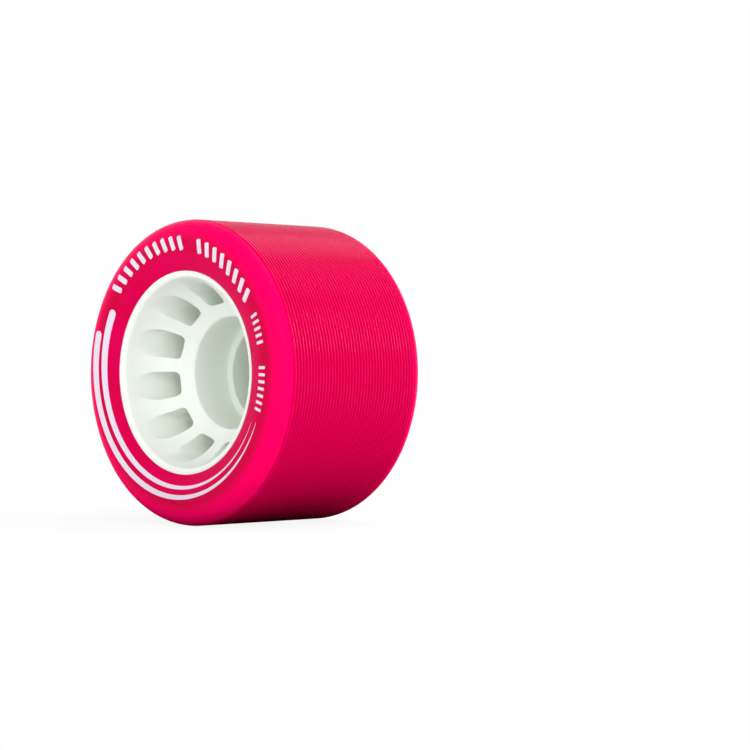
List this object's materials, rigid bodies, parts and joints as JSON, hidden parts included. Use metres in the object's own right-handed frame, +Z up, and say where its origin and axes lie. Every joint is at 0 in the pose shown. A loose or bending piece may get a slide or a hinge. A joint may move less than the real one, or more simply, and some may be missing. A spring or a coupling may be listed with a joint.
{
  "type": "roller skate wheel",
  "caption": "Roller skate wheel: pink cast tyre with a finely grooved tread on a white ribbed hub, an open front bearing seat, and a ball bearing in the rear seat.",
  "frame": {"origin": "centre of the wheel, on the axle line and midway between the tyre's faces", "axes": "+Y along the axle towards the rear bearing, the printed face looks towards -Y, +Z up"},
  "size_m": [0.059, 0.0376, 0.059],
  "materials": {
    "tyre": "glossy cast urethane",
    "hub": "satin moulded nylon",
    "ink": "printed ink",
    "bearing_steel": "ground steel",
    "balls": "polished steel",
    "cage": "moulded nylon",
    "shields": "pressed sheet",
    "clips": "spring wire"
  },
  "bodies": {
    "inner_ring": {"bearing_inner_ring": "bearing_steel"},
    "wheel": {"tyre": "tyre", "hub": "hub", "stripe_outer": "ink", "stripe_inner": "ink", "bar_row_left": "ink", "bar_row_right": "ink", "small_marks": "ink", "bearing_outer_ring": "bearing_steel", "shield_front": "shields", "shield_rear": "shields", "clip_front": "clips", "clip_rear": "clips"},
    "ball_train": {"ball_1": "balls", "ball_2": "balls", "ball_3": "balls", "ball_4": "balls", "ball_5": "balls", "ball_6": "balls", "ball_7": "balls", "ball_cage": "cage"}
  },
  "joints": [
    {"name": "wheel_spin", "type": "hinge", "parent": "inner_ring", "child": "wheel", "pos_m": [0, 0.01475, 0], "axis": [0, 1, 0], "continuous": true},
    {"name": "ball_train_spin", "type": "hinge", "parent": "inner_ring", "child": "ball_train", "pos_m": [0, 0.01475, 0], "axis": [0, 1, 0], "continuous": true}
  ],
  "couplings": [
    {"joint": "ball_train_spin", "follows": "wheel_spin", "ratio": 0.63233}
  ]
}
